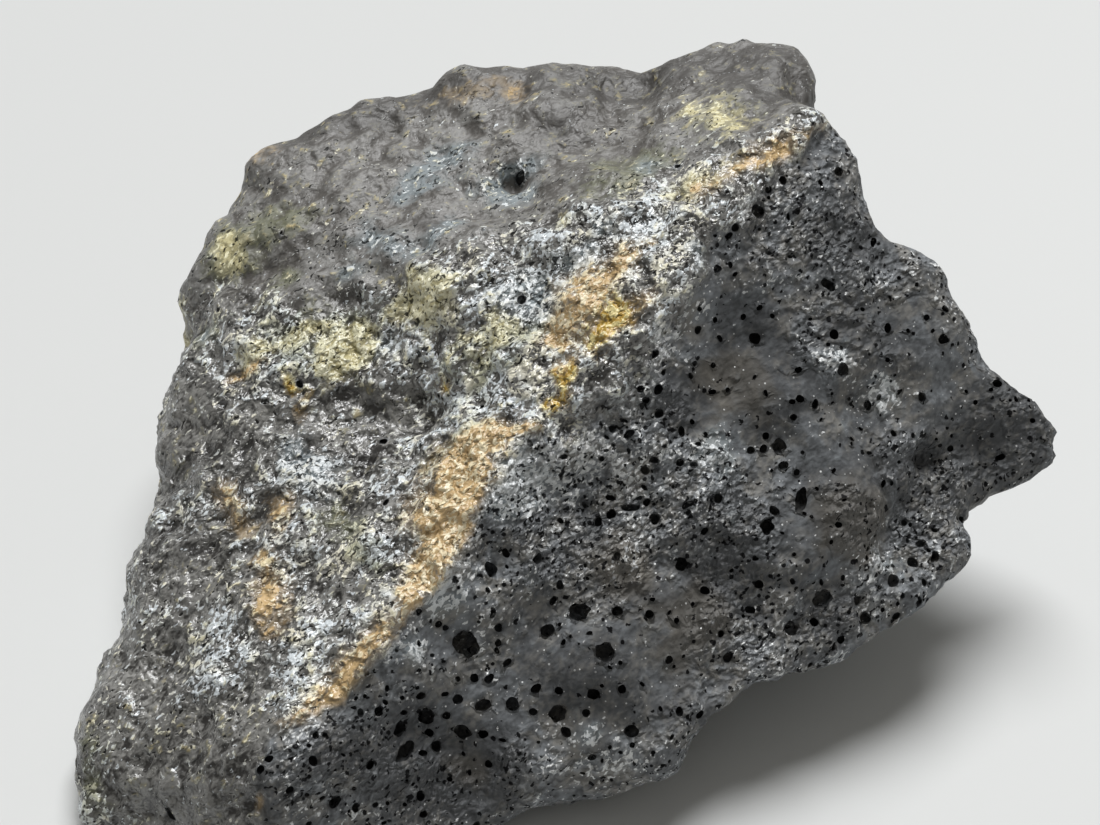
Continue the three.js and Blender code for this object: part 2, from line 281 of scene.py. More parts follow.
# The bubbles are cut a size class at a time: from, up to (millimetres), grid steps of a ball.
BUBBLE_CLASSES = ((0.8, 9.0, 11), (0.4, 0.8, 6), (0.0, 0.4, 3))

# The middles of two bubbles stay this many times the sum of their mouths apart.
BUBBLE_GAP = 0.56

# The surface dips about bubbles with a mouth over a size in millimetres: the dip's half width and
# depth are these parts of the mouth.
DIP_FROM = 0.45
DIP_WIDTH = 0.75
DIP_DEPTH = 0.22

# Edges that turn further than this are sharp.
SHARP_ANGLE = math.radians(52)

# The floor: half its width in millimetres, the way in which its painted shade darkens it, from where
# to where along that way in metres, and the share of its colour that is left there.
FLOOR_HALF = 1500.0
FLOOR_FALL = (-0.5, 1.0, 0.0)
FLOOR_FALL_START = -50 * MM
FLOOR_FALL_END = 100 * MM
FLOOR_FAR_SHADE = 0.86

# The colour of the soft light from all round, and the point that the key light faces.
SKY_COLOUR = (1.0, 0.97, 0.90, 1.0)
LIGHT_AIM = Vector((0, 0, 10 * MM))


class StoneShape(bpy.types.PropertyGroup):
    """Sizes of the stone's surface."""

    spacing: bpy.props.FloatProperty(
        name="Grid spacing", description="Distance between the grid's lines",
        default=0.31 * MM, unit="LENGTH", precision=5,
    )
    lump_height: bpy.props.FloatProperty(
        name="Lump height", description="Height of the broad lumps",
        default=0.30 * MM, unit="LENGTH", precision=5,
    )
    wrinkle_height: bpy.props.FloatProperty(
        name="Wrinkle height", description="Height of the wrinkles of the crust",
        default=0.30 * MM, unit="LENGTH", precision=5,
    )
    lip_height: bpy.props.FloatProperty(
        name="Crust lip", description="How far the crust stands proud of the break",
        default=0.18 * MM, unit="LENGTH", precision=5,
    )
    small_bubbles: bpy.props.IntProperty(
        name="Small bubbles", description="How many scattered bubbles are cut into the stone",
        default=900, min=0,
    )
    smallest_bubble: bpy.props.FloatProperty(
        name="Smallest bubble", description="Mouth of the smallest scattered bubble",
        default=0.22 * MM, unit="LENGTH", precision=5,
    )
    largest_bubble: bpy.props.FloatProperty(
        name="Largest bubble", description="Mouth of the largest scattered bubble",
        default=0.55 * MM, unit="LENGTH", precision=5,
    )
    triangles: bpy.props.IntProperty(
        name="Triangles", description="The most triangles that the finished stone may have",
        default=196000, min=20000,
    )


def colour_property(name, description, default):
    """A colour a user can change."""
    return bpy.props.FloatVectorProperty(
        name=name, description=description, default=default, subtype="COLOR", size=3, min=0, max=1
    )


class StoneColours(bpy.types.PropertyGroup):
    """Colours of the stone's finishes."""

    break_dark: colour_property("Break, dark", "Darkest grey of the break", (0.080, 0.086, 0.093))
    break_mid: colour_property("Break, middle", "Usual grey of the break", (0.240, 0.258, 0.276))
    break_warm: colour_property("Break, warm", "Warmer grey of the break", (0.262, 0.254, 0.234))
    # Light grains of the break, which also stand for painted glints.
    break_grain_glint: colour_property("Break, grains", "Light grains of the break", (0.90, 0.92, 0.92))
    break_crumbs: colour_property("Break, crumbs", "Crumbly grey of the break", (0.42, 0.44, 0.46))
    # Near black, a painted shade for the inside of pits, holes and bubbles.
    deep: colour_property("Pits", "The dark inside pits and bubbles", (0.008, 0.008, 0.009))
    brown: colour_property("Brown", "Brown tint on the break", (0.150, 0.132, 0.102))
    crust_dark: colour_property("Crust, dark", "Darkest tone of the crust", (0.042, 0.040, 0.038))
    crust_mid: colour_property("Crust, middle", "Usual tone of the crust", (0.325, 0.322, 0.308))
    # Flecks of the crust: light grains, and painted glints.
    crust_glint_warm: colour_property("Crust, flecks", "Warm flecks of the crust", (0.86, 0.83, 0.69))
    crust_glint_cool: colour_property("Crust, cool flecks", "Cool flecks of the crust", (0.78, 0.84, 0.88))
    # The top's greys, blended by its mottle, which carries some painted light on crests and painted shade
    # in hollows.
    top_dark: colour_property("Top, dark", "Dark brownish grey of the calm top", (0.098, 0.091, 0.083))
    top_light: colour_property("Top, light", "Milky grey of the calm top", (0.232, 0.229, 0.221))
    # Each stain has a deep tone, its own colour, and a light tone that shows only in painted glints.
    ochre_deep: colour_property("Ochre, deep", "Deep tone of the ochre stain", (0.70, 0.49, 0.24))
    ochre_light: colour_property("Ochre, light", "Light tone of the ochre stain", (0.95, 0.82, 0.55))
    yellow_deep: colour_property("Yellow, deep", "Deep tone of the yellow stain", (0.70, 0.63, 0.34))
    yellow_light: colour_property("Yellow, light", "Light tone of the yellow stain", (0.92, 0.88, 0.60))
    gold_deep: colour_property("Gold, deep", "Deep tone of the golden spots", (0.66, 0.42, 0.07))
    gold_light: colour_property("Gold, light", "Light tone of the golden spots", (0.95, 0.80, 0.36))
    olive_deep: colour_property("Olive, deep", "Deep tone of the olive film", (0.16, 0.17, 0.08))
    olive_light: colour_property("Olive, light", "Light tone of the olive film", (0.46, 0.48, 0.30))
    pale_deep: colour_property("Pale, deep", "Deep tone of the blue-white film", (0.25, 0.30, 0.325))
    pale_light: colour_property("Pale, light", "Light tone of the blue-white film", (0.76, 0.80, 0.82))


class StageSettings(bpy.types.PropertyGroup):
    """The floor, the lights and the camera."""

    target: bpy.props.FloatVectorProperty(
        name="Camera target", description="The point in the middle of the picture",
        default=(-1.5 * MM, -0.7 * MM, 13.5 * MM), subtype="TRANSLATION", unit="LENGTH", size=3,
    )
    distance: bpy.props.FloatProperty(
        name="Camera distance", description="From the camera to its target",
        default=150 * MM, unit="LENGTH",
    )
    tilt: bpy.props.FloatProperty(
        name="Camera tilt", description="How far the camera looks down",
        default=math.radians(46), unit="ROTATION",
    )
    lens: bpy.props.FloatProperty(
        name="Lens", description="Focal length on a 36 mm sensor", default=90.0, min=1.0,
    )
    floor_colour: colour_property("Floor", "Colour of the floor", (0.80, 0.815, 0.815))
    key_direction: bpy.props.FloatVectorProperty(
        name="Key direction", description="From the stone towards the key light",
        default=(0.04, 0.60, 1.0), subtype="DIRECTION", size=3,
    )
    key_distance: bpy.props.FloatProperty(
        name="Key distance", description="From the stone to the key light", default=1.0, unit="LENGTH",
    )
    key_width: bpy.props.FloatProperty(
        name="Key width", description="Width of the key light", default=0.60, unit="LENGTH",
    )
    key_power: bpy.props.FloatProperty(
        name="Key power", description="Power of the key light", default=10.5, unit="POWER",
    )
    sky_strength: bpy.props.FloatProperty(
        name="Fill", description="Strength of the soft light from all round", default=0.17, min=0.0,
    )


# ---------------------------------------------------------------- numbers and noise


def hashed(cells, seed):
    """A well mixed whole number for each row of whole numbers and a seed."""
    cells = cells.astype(np.uint32)
    mixed = cells[..., 0] * np.uint32(0x8DA6B343)
    mixed = mixed ^ (cells[..., 1] * np.uint32(0xD8163841))
    mixed = mixed ^ (cells[..., 2] * np.uint32(0xCB1AB31F))
    mixed = mixed + np.uint32(seed * 0x9E3779B1 & 0xFFFFFFFF)
    mixed = (mixed ^ (mixed >> np.uint32(15))) * np.uint32(0x2C1B3C6D)
    mixed = (mixed ^ (mixed >> np.uint32(12))) * np.uint32(0x297A2D39)
    return mixed ^ (mixed >> np.uint32(15))


def noise(points, seed=0):
    """Gradient noise from about -1 to 1.

    Each corner of the unit lattice has a random slope: three numbers from -1 to 1, of ten bits
    each. A point takes the heights that the slopes of its cell's eight corners give it, blended
    by 6t^5 - 15t^4 + 10t^3, and the sum is brought up to the range.
    """
    cell = np.floor(points)
    part = points - cell
    cell = cell.astype(np.int64)
    blend = part**3 * (part * (part * 6 - 15) + 10)
    total = np.zeros(len(points))
    for corner in np.ndindex(2, 2, 2):
        step = np.array(corner)
        bits = hashed(cell + step, seed)
        slope = np.stack([(bits >> np.uint32(shift)) & 1023 for shift in (0, 10, 20)], axis=1)
        slope = slope / 511.5 - 1
        weight = np.prod(np.where(step, blend, 1 - blend), axis=1)
        total += weight * np.sum(slope * (part - step), axis=1)
    return total * 1.6


def layered_noise(points, spacing, layers, seed=0):
    """Noise at a spacing, plus finer layers of half the spacing and half the height each."""
    total = np.zeros(len(points))
    for layer in range(layers):
        total += noise(points * (2**layer / spacing), seed + layer) / 2**layer
    return total


def creased_noise(points, spacing, layers, seed=0):
    """Layered noise folded at zero, so that it has sharp crests: one minus its size."""
    total = np.zeros(len(points))
    for layer in range(layers):
        total += (0.5 - np.abs(noise(points * (2**layer / spacing), seed + layer))) / 2**layer
    return total


def smooth_step(values, low, high):
    """0 below low, 1 above high, and 3t^2 - 2t^3 between them."""
    part = np.clip((values - low) / (high - low), 0, 1)
    return part * part * (3 - 2 * part)


def unit(vectors):
    """The vectors at length one."""
    return vectors / np.linalg.norm(vectors, axis=-1, keepdims=True)


# ---------------------------------------------------------------- grids and meshes


def box_grid(counts):
    """The surface of the box from -1 to 1, as points and four-sided faces.

    Across each axis lie two square patches. On a patch the other two coordinates run evenly
    from -1 to 1 in two parameters, with counts[axis] steps. Shared edges are joined.
    """
    points, faces, start = [], [], 0
    for axis in range(3):
        first, second = (axis + 1) % 3, (axis + 2) % 3
        u, v = np.meshgrid(
            np.linspace(-1, 1, counts[first] + 1), np.linspace(-1, 1, counts[second] + 1), indexing="ij"
        )
        index = np.arange(u.size).reshape(u.shape)
        quads = np.stack([index[:-1, :-1], index[1:, :-1], index[1:, 1:], index[:-1, 1:]], axis=-1)
        for side in (-1, 1):
            patch = np.empty((u.size, 3))
            patch[:, axis] = side
            patch[:, first] = u.ravel()
            patch[:, second] = v.ravel()
            points.append(patch)
            faces.append(quads.reshape(-1, 4)[:, ::side] + start)
            start += u.size
    points, faces = np.concatenate(points), np.concatenate(faces)
    _, keep, joined = np.unique(np.round(points, 6), axis=0, return_index=True, return_inverse=True)
    return points[keep], joined.reshape(-1)[faces]


def make_mesh(name, points, faces):
    """A mesh of points in millimetres and faces that all have as many corners."""
    mesh = bpy.data.meshes.new(name)
    mesh.vertices.add(len(points))
    mesh.vertices.foreach_set("co", (points * MM).astype(np.float32).ravel())
    corners = faces.shape[1]
    mesh.loops.add(faces.size)
    mesh.loops.foreach_set("vertex_index", faces.astype(np.int32).ravel())
    mesh.polygons.add(len(faces))
    mesh.polygons.foreach_set("loop_start", np.arange(0, faces.size, corners, dtype=np.int32))
    mesh.update(calc_edges=True)
    return mesh


def show(name, mesh):
    """An object for a mesh, at the origin."""
    piece = bpy.data.objects.new(name, mesh)
    bpy.context.scene.collection.objects.link(piece)
    return piece


def discard(piece):
    """A helper object and its mesh are taken away."""
    mesh = piece.data
    bpy.data.objects.remove(piece)
    bpy.data.meshes.remove(mesh)


def settle(piece):
    """The piece's modifiers become its mesh."""
    graph = bpy.context.evaluated_depsgraph_get()
    mesh = bpy.data.meshes.new_from_object(piece.evaluated_get(graph))
    old = piece.data
    piece.modifiers.clear()
    piece.data = mesh
    bpy.data.meshes.remove(old)


def places_of(mesh):
    """The mesh's vertices in millimetres."""
    values = np.empty(len(mesh.vertices) * 3, np.float32)
    mesh.vertices.foreach_get("co", values)
    return values.reshape(-1, 3).astype(float) / MM


def move_to(mesh, points):
    """The mesh's vertices go to points in millimetres."""
    mesh.vertices.foreach_set("co", (points * MM).astype(np.float32).ravel())
    mesh.update()


def normals_of(mesh):
    """The mesh's vertex normals."""
    values = np.empty(len(mesh.vertices) * 3, np.float32)
    mesh.vertex_normals.foreach_get("vector", values)
    return values.reshape(-1, 3).astype(float)


def store(mesh, name, values):
    """A value for each vertex, kept under a name that materials can read."""
    layer = mesh.attributes.new(name, "FLOAT", "POINT")
    layer.data.foreach_set("value", values.astype(np.float32))


def stored(mesh, name):
    """The values kept under a name."""
    values = np.empty(len(mesh.vertices), np.float32)
    mesh.attributes[name].data.foreach_get("value", values)
    return values.astype(float)


# ---------------------------------------------------------------- the view


def view_axes(stage):
    """The camera's place in millimetres, and its right, up and ahead directions."""
    ahead = np.array([0.0, math.cos(stage.tilt), -math.sin(stage.tilt)])
    right = np.array([1.0, 0.0, 0.0])
    up = np.cross(right, ahead)
    eye = np.array(stage.target) / MM - ahead * stage.distance / MM
    return eye, right, up, ahead


def seen_on(tree, stage, marks):
    """The surface points under picture points, and the surface's normals there."""
    eye, right, up, ahead = view_axes(stage)
    focal = stage.lens / SENSOR_WIDTH * PICTURE_WIDTH
    places, normals = [], []
    for x, y in marks:
        ray = ahead * focal + right * (x - PICTURE_WIDTH / 2) + up * (PICTURE_HEIGHT / 2 - y)
        place, normal, _, _ = tree.ray_cast(Vector(eye), Vector(unit(ray)))
        if place is None:
            raise RuntimeError(f"the mark at {x}, {y} misses the stone")
        places.append(place)
        normals.append(normal)
    return np.array(places), np.array(normals)


def nearest_on(tree, points):
    """The surface points nearest to points, and the surface's normals there."""
    found = [tree.find_nearest(Vector(point)) for point in points]
    return np.array([place for place, _, _, _ in found]), np.array([normal for _, normal, _, _ in found])


# ---------------------------------------------------------------- the stone's form


def lay_surface(shape):
    """The stone's surface as an even grid.

    A grid on the stone's box is carried out to a sphere about the heart, drawn in along the
    sphere's radii to the CAD form, and smoothed until the form's facets no longer show.
    """
    size = CAD_HIGH - CAD_LOW
    counts = np.round(size / (shape.spacing / MM)).astype(int)
    points, faces = box_grid(counts)
    on_box = (CAD_LOW + CAD_HIGH) / 2 + points * size / 2
    radius = np.linalg.norm(size)
    piece = show("meteorite", make_mesh("meteorite", HEART + unit(on_box - HEART) * radius, faces))
    draw_in = piece.modifiers.new("draw in", "SHRINKWRAP")
    draw_in.wrap_method = "PROJECT"
    draw_in.use_negative_direction = True
    draw_in.use_positive_direction = False
    draw_in.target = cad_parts[NODE]
    evening = piece.modifiers.new("evening", "SMOOTH")
    evening.factor = 0.5
    evening.iterations = 5
    settle(piece)
    return piece


def tree_of(mesh):
    """A search tree over a mesh of four-sided faces, in millimetres."""
    corners = np.empty(len(mesh.loops), np.int32)
    mesh.loops.foreach_get("vertex_index", corners)
    return BVHTree.FromPolygons(places_of(mesh).tolist(), corners.reshape(-1, 4).tolist())


def line_on(form, stage, marks, start, end):
    """A line over the stone from marks, run on past its two ends: plan points and blends."""
    places, _ = seen_on(form, stage, [mark[:2] for mark in marks])
    plan = np.concatenate([[start[:2]], places[:, :2], [end[:2]]])
    blends = np.array([start[2], *(mark[2] for mark in marks), end[2]])
    return plan, blends


def side_of(points, line):
    """How far each point lies to the left of a line on the plan, and the line's blend there.

    The distance to the nearest stretch of the line, positive on its left.
    """
    plan, blends = line
    nearest = np.full(len(points), np.inf)
    signed, blend = np.zeros(len(points)), np.ones(len(points))
    for k in range(len(plan) - 1):
        along = plan[k + 1] - plan[k]
        offset = points[:, :2] - plan[k]
        part = np.clip(offset @ along / (along @ along), 0, 1)
        distance = np.linalg.norm(offset - part[:, None] * along, axis=1)
        side = np.where(along[0] * offset[:, 1] > along[1] * offset[:, 0], 1.0, -1.0)
        closer = distance < nearest
        nearest = np.where(closer, distance, nearest)
        signed = np.where(closer, side * distance, signed)
        blend = np.where(closer, blends[k] + part * (blends[k + 1] - blends[k]), blend)
    return signed, blend


def crust_share(points, normals, ridge):
    """1 on the crust and 0 on the break.

    The crust is left of the ridge, where the surface faces up or to the left.
    """
    signed, blend = side_of(points, ridge)
    wander = layered_noise(points, 1.6, 4, seed=31) * (0.15 + 0.6 * blend)
    beside = smooth_step((signed + wander) / blend, -1, 1)
    turned = normals[:, 2] + 1.1 * np.maximum(-normals[:, 0], 0)
    facing = smooth_step(turned + 0.18 * layered_noise(points, 2.5, 3, seed=35), 0.25, 0.5)
    return beside * facing


def top_share(points, step):
    """1 on the calmer top beyond the step, 0 elsewhere."""
    signed, blend = side_of(points, step)
    wander = 0.8 * layered_noise(points, 2.5, 3, seed=37)
    return smooth_step((signed + wander) / blend, -1, 1)


def dent_depth(points, form, stage):
    """The depth of the dents, and of the dips about the bigger bubbles.

    Each one is a bell curve of the distance to its middle.
    """
    big = [bubble for bubble in BUBBLES if bubble[2] > DIP_FROM]
    dips = [(x, y, DIP_WIDTH * mouth, DIP_DEPTH * mouth) for x, y, mouth, _ in big]
    marks = np.array([*DENTS, *dips])
    places, _ = seen_on(form, stage, marks[:, :2])
    depth = np.zeros(len(points))
    for place, (width, full) in zip(places, marks[:, 2:]):
        distance = np.linalg.norm(points - place, axis=1)
        depth += full * np.exp(-((distance / width) ** 2))
    return depth


def relief(points, crust, top, grit, shape):
    """The height of the natural surface over the form, and how far it stands out locally.

    Broad lumps everywhere. The crust adds knobs, creases drawn out along the ridge and small
    blisters, which calm down on the top, and stands proud of the break by its lip. The break
    adds swells and shallow chips, stronger where it is gritty. The height is in millimetres.
    """
    lumps = layered_noise(points, 5.5, 2, seed=1)
    knobs = layered_noise(points, 2.3, 2, seed=3)
    stretched = points - 0.6 * np.outer(points @ FLOW, FLOW)
    creases = creased_noise(stretched, 1.5, 3, seed=5)
    blisters = layered_noise(points, 0.85, 2, seed=9)
    swells = layered_noise(points, 3.2, 2, seed=13)
    chips = creased_noise(points, 1.3, 2, seed=17)
    crusty = 1.2 * knobs + (1 - 0.7 * top) * (1.0 * creases + 0.55 * blisters)
    broken = 0.8 * swells + (1 + 0.6 * grit) * (0.6 * chips + 0.35 * blisters)
    rise = crust * crusty + (1 - crust) * broken
    height = shape.lump_height / MM * lumps + shape.wrinkle_height / MM * rise
    height += shape.lip_height / MM * (crust - 0.5)
    return height, rise


# ---------------------------------------------------------------- bubbles


def bubble_mesh(name, sites, ups, mouths, stretches, steps, rng):
    """Closed hollows to cut into the stone.

    Each one is a ball: box directions at length one, times its three radii, times one plus a
    little noise. Its middle lies under the surface, so the mouth is narrower than the hollow.
    The inside gets painted shade, darkest in the smallest ones, which is kept as "hollow".
    """
    count = len(sites)
    points, faces = box_grid((steps, steps, steps))
    ball = unit(points)
    sink = rng.uniform(0.15, 0.5, count)
    radius = mouths / 2 / np.sqrt(1 - sink**2)
    spin = rng.uniform(0, 2 * math.pi, count)
    helper = np.where(np.abs(ups[:, 2:3]) < 0.9, [[0.0, 0.0, 1.0]], [[1.0, 0.0, 0.0]])
    first = unit(np.cross(ups, helper))
    second = np.cross(ups, first)
    tangent = first * np.cos(spin)[:, None] + second * np.sin(spin)[:, None]
    bitangent = np.cross(ups, tangent)
    squash = rng.uniform(0.85, 1.15, count)
    length = radius * np.sqrt(stretches) * squash
    width = radius / np.sqrt(stretches) / squash
    radii = np.stack([length, width, radius * rng.uniform(0.9, 1.2, count)], axis=1)
    axes = np.stack([tangent, bitangent, ups], axis=1)
    middles = sites - ups * (radius * sink)[:, None]
    local = ball[None] * radii[:, None]
    solid = middles[:, None] + local @ axes
    uneven = 1 + 0.24 * noise(solid.reshape(-1, 3) / 0.35, seed=41).reshape(count, -1, 1)
    solid = middles[:, None] + (solid - middles[:, None]) * uneven
    all_faces = (faces[None] + (np.arange(count) * len(ball))[:, None, None]).reshape(-1, 4)
    mesh = make_mesh(name, solid.reshape(-1, 3), all_faces)
    store(mesh, "hollow", np.repeat(np.clip(1.5 - mouths, 0.5, 1.0), len(ball)))
    return mesh


def apart(sites, mouths, order, gap):
    """The indexes of bubbles that keep clear of each other, taken in an order."""
    kept = []
    for index in order:
        if kept:
            others = np.array(kept)
            distance = np.linalg.norm(sites[others] - sites[index], axis=1)
            if np.any(distance < gap * (mouths[others] + mouths[index])):
                continue
        kept.append(index)
    return np.array(kept)


def scattered_sites(mesh, density, count, rng):
    """Random places on the mesh's surface and its normals there, crowded as the density asks."""
    mesh.calc_loop_triangles()
    corners = np.empty(len(mesh.loop_triangles) * 3, np.int32)
    mesh.loop_triangles.foreach_get("vertices", corners)
    corners = corners.reshape(-1, 3)
    points, normals = places_of(mesh), normals_of(mesh)
    a, b, c = (points[corners[:, k]] for k in range(3))
    area = np.linalg.norm(np.cross(b - a, c - a), axis=1)
    weight = area * density[corners].mean(axis=1)
    chosen = rng.choice(len(corners), size=count, p=weight / weight.sum())
    share = rng.dirichlet((1, 1, 1), count)
    sites = np.sum(points[corners[chosen]] * share[:, :, None], axis=1)
    ups = unit(np.sum(normals[corners[chosen]] * share[:, :, None], axis=1))
    return sites, ups


def cut_bubbles(piece, hollows):
    """The hollows are cut out of the piece."""
    cutter = show(hollows.name, hollows)
    cut = piece.modifiers.new("bubbles", "BOOLEAN")
    cut.operation = "DIFFERENCE"
    cut.solver = "MANIFOLD"
    cut.object = cutter
    settle(piece)
    discard(cutter)


def bubble_density(points, crust, normals):
    """How crowded the scattered bubbles are: in swarms on the break, few on the crust."""
    swarms = smooth_step(layered_noise(points, 6.0, 2, seed=51), -0.55, 0.65)
    below = smooth_step(-normals[:, 2], 0.6, 0.95)
    return (1 - crust) * (0.25 + swarms) * (1 - 0.75 * below) + crust * 0.012


def add_bubbles(piece, form, shape, stage):
    """The named bubbles, then the scattered ones, are cut into the stone."""
    rng = np.random.default_rng(7)
    mesh = piece.data
    points, normals, crust = places_of(mesh), normals_of(mesh), stored(mesh, "crust")
    density = bubble_density(points, crust, normals)
    smallest, largest = shape.smallest_bubble / MM, shape.largest_bubble / MM
    sites, ups = scattered_sites(mesh, density, shape.small_bubbles, rng)
    mouths = smallest + (largest - smallest) * rng.uniform(0, 1, len(sites)) ** 2.5
    stretches = rng.uniform(1.0, 1.6, len(sites))
    marks = np.array(BUBBLES)
    places, facing = nearest_on(tree_of(mesh), seen_on(form, stage, marks[:, :2])[0])
    sites, ups = np.concatenate([places, sites]), np.concatenate([facing, ups])
    mouths = np.concatenate([marks[:, 2], mouths])
    stretches = np.concatenate([marks[:, 3], stretches])
    order = np.concatenate([np.arange(len(marks)), len(marks) + np.argsort(-mouths[len(marks):])])
    kept = apart(sites, mouths, order, BUBBLE_GAP)
    for number, (low, high, steps) in enumerate(BUBBLE_CLASSES):
        some = kept[(mouths[kept] >= low) & (mouths[kept] < high)]
        name = f"bubbles_{number}"
        hollows = bubble_mesh(name, sites[some], ups[some], mouths[some], stretches[some], steps, rng)
        cut_bubbles(piece, hollows)


def thin_out(piece, triangles):
    """The mesh is brought down to a number of triangles, fewest where it is flattest."""
    count = sum(len(face.vertices) - 2 for face in piece.data.polygons)
    if count > triangles:
        thinning = piece.modifiers.new("thinning", "DECIMATE")
        thinning.ratio = triangles / count
        settle(piece)


# ---------------------------------------------------------------- stains


def stroke_cover(points, strokes, tree, stage):
    """How deep each point lies in a set of strokes: 1 on a middle line and 0.5 at its edge.

    One minus the distance to the nearest middle line over twice the half width there, times the
    stroke's strength.
    """
    cover = np.zeros(len(points))
    for stroke in strokes:
        places, _ = seen_on(tree, stage, [mark[:2] for mark in stroke])
        widths = [mark[2] for mark in stroke]
        strengths = [mark[3] if len(mark) > 3 else 1.0 for mark in stroke]
        if len(stroke) == 1:
            places, widths, strengths = np.repeat(places, 2, axis=0), widths * 2, strengths * 2
        for k in range(len(places) - 1):
            along = places[k + 1] - places[k]
            length = max(along @ along, 1e-9)
            part = np.clip((points - places[k]) @ along / length, 0, 1)
            distance = np.linalg.norm(points - places[k] - part[:, None] * along, axis=1)
            width = widths[k] + part * (widths[k + 1] - widths[k])
            strength = strengths[k] + part * (strengths[k + 1] - strengths[k])
            cover = np.maximum(cover, strength * (1 - distance / (2 * width)))
    return cover


def hidden_cover(points, spacing, seed, low, high):
    """Cover for stains on the sides that have no strokes, behind and below: patches of noise."""
    away = smooth_step(points[:, 1] * 0.5 - points[:, 0] * 0.15 - points[:, 2] * 0.55, -1.5, 4.0)
    return away * smooth_step(layered_noise(points, spacing, 2, seed), low, high) * 0.75


def wandered(points, spacing, reach, seed):
    """The points pushed about by three fields of noise, so that marks on them run unevenly."""
    push = np.stack([layered_noise(points, spacing, 3, seed + 10 * k) for k in range(3)], axis=1)
    return points + reach * push


def grit_share(points, form, stage):
    """How gritty the break is: 1 in the strokes of grit, and under 0 in the smooth ones."""
    loose = wandered(points, 3.0, 1.0, 73)
    grit = np.clip(2 * stroke_cover(loose, GRIT_STROKES, form, stage), 0, 1)
    smooth = np.clip(2 * stroke_cover(loose, SMOOTH_STROKES, form, stage), 0, 1)
    return grit - SMOOTH_SHARE * smooth


def paint(piece, form, stage):
    """The stains' cover, and the lighter and darker parts with their painted light and shade, are stored
    on the piece, for its material.
    """
    points = places_of(piece.data)
    loose = wandered(points, 2.0, 0.6, 71)
    for name, strokes, spacing, seed, low, high in STAINS:
        cover = stroke_cover(loose, strokes, form, stage)
        hidden = hidden_cover(points, spacing, seed, low, high)
        store(piece.data, name, np.maximum(cover, hidden))
    # Tone: the stone's own lighter and darker parts, with painted highlights and painted shade.
    loose = wandered(points, 3.0, 0.6, 73)
    light = np.clip(2 * stroke_cover(loose, LIGHTER_AND_LIT_STROKES, form, stage), 0, 1)
    dark = np.clip(2 * stroke_cover(loose, DARKER_AND_SHADED_STROKES, form, stage), 0, 1)
    store(piece.data, "tone", light - dark)


def add_bake_map(mesh):
    """A UV map in two rows of three charts, one for each side of the box about the heart.

    A face goes to the side that its middle lies towards. Its corners may reach a little past it.
    """
    fill, reach = 0.94, 1.05
    points = places_of(mesh)
    corners = np.empty(len(mesh.loops), np.int32)
    mesh.loops.foreach_get("vertex_index", corners)
    totals = np.empty(len(mesh.polygons), np.int32)
    mesh.polygons.foreach_get("loop_total", totals)
    middles = np.empty(len(mesh.polygons) * 3, np.float32)
    mesh.polygons.foreach_get("center", middles)
    half = (CAD_HIGH - CAD_LOW) / 2
    ways = (middles.reshape(-1, 3) / MM - HEART) / half
    axis = np.argmax(np.abs(ways), axis=1)
    side = np.take_along_axis(ways, axis[:, None], axis=1)[:, 0] > 0
    axis, side = np.repeat(axis, totals), np.repeat(side, totals)
    way = (points[corners] - HEART) / half
    row = np.arange(len(way))
    depth = np.abs(way[row, axis])
    u = way[row, (axis + 1) % 3] / depth
    v = way[row, (axis + 2) % 3] / depth
    u = (axis + 0.5 + 0.5 * fill * np.clip(u, -reach, reach)) / 3
    v = (side + 0.5 + 0.5 * fill * np.clip(v, -reach, reach)) / 2
    layer = mesh.uv_layers.new(name="OFBake")
    layer.uv.foreach_set("vector", np.stack([u, v], axis=1).astype(np.float32).ravel())


# ---------------------------------------------------------------- nodes


